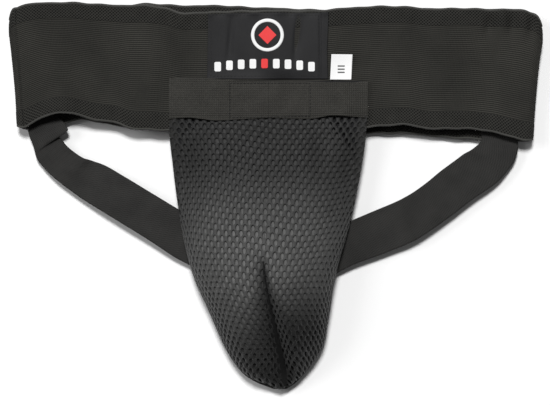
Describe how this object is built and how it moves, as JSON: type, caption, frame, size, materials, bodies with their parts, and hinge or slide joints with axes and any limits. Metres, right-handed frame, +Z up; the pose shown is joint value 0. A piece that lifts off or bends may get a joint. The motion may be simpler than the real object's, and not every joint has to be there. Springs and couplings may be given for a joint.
{
  "type": "groin protector",
  "caption": "Jockstrap-style groin protector with a wide elastic waistband loop, a mesh-fronted pouch that holds a hard cup, and elastic leg straps sewn under the pouch, lying flat.",
  "frame": {"origin": "centre of the bounding box in plan, on the surface that the object lies on", "axes": "+X along the waistband towards the wearer's left, +Y from the pouch's tip to the waistband, +Z up from the table, out of the pouch's front"},
  "size_m": [0.375, 0.2711, 0.0515],
  "materials": {
    "elastic": "matt black ribbed elastic",
    "tape": "matt black woven tape",
    "label_satin": "black satin",
    "thread": "black polyester thread",
    "marks_white": "white embroidery",
    "marks_red": "red embroidery",
    "tag_white": "white satin ribbon",
    "mesh_fabric": "black knitted air mesh",
    "liner_fabric": "black close-knit lining",
    "hook_nylon": "black hook strip",
    "loop_nylon": "black loop strip",
    "cup_plastic": "off-white moulded plastic",
    "cushion_rubber": "soft black rim"
  },
  "bodies": {
    "waistband": {"waistband_elastic": "elastic", "band_join_tape": "tape", "front_label": "label_satin", "label_stitching": "thread", "label_marks_white": "marks_white", "label_marks_red": "marks_red", "pouch_back_panel": "liner_fabric", "side_binding_left": "tape", "side_binding_right": "tape", "closure_loop_strip": "loop_nylon", "leg_strap_left": "elastic", "leg_strap_right": "elastic", "band_bartacks": "thread", "tip_bartacks": "thread"},
    "pouch_front": {"pouch_mesh_front": "mesh_fabric", "pouch_front_liner": "liner_fabric", "dart_seam": "thread", "hem_tape": "tape", "hem_box_stitch": "thread", "closure_hook_strip": "hook_nylon"},
    "cup": {"cup_shell": "cup_plastic", "cup_rim_cushion": "cushion_rubber"},
    "tag": {"size_tag": "tag_white"}
  },
  "joints": [
    {"name": "cup_slide", "type": "slide", "parent": "waistband", "child": "cup", "axis": [-0.0279, 0.9986, 0.0441], "range_m": [0, 0.2]},
    {"name": "mouth_opening", "type": "hinge", "parent": "waistband", "child": "pouch_front", "pos_m": [0, -0.1355, 0.0044], "axis": [1, 0, 0], "range_deg": [0, 23.1]},
    {"name": "tag_flip", "type": "hinge", "parent": "waistband", "child": "tag", "pos_m": [0.0455, 0.0809, 0.0117], "axis": [1, 0, 0], "range_deg": [0, 90]}
  ],
  "couplings": [
    {"joint": "mouth_opening", "follows": "cup_slide", "rad_per_m": 2}
  ]
}
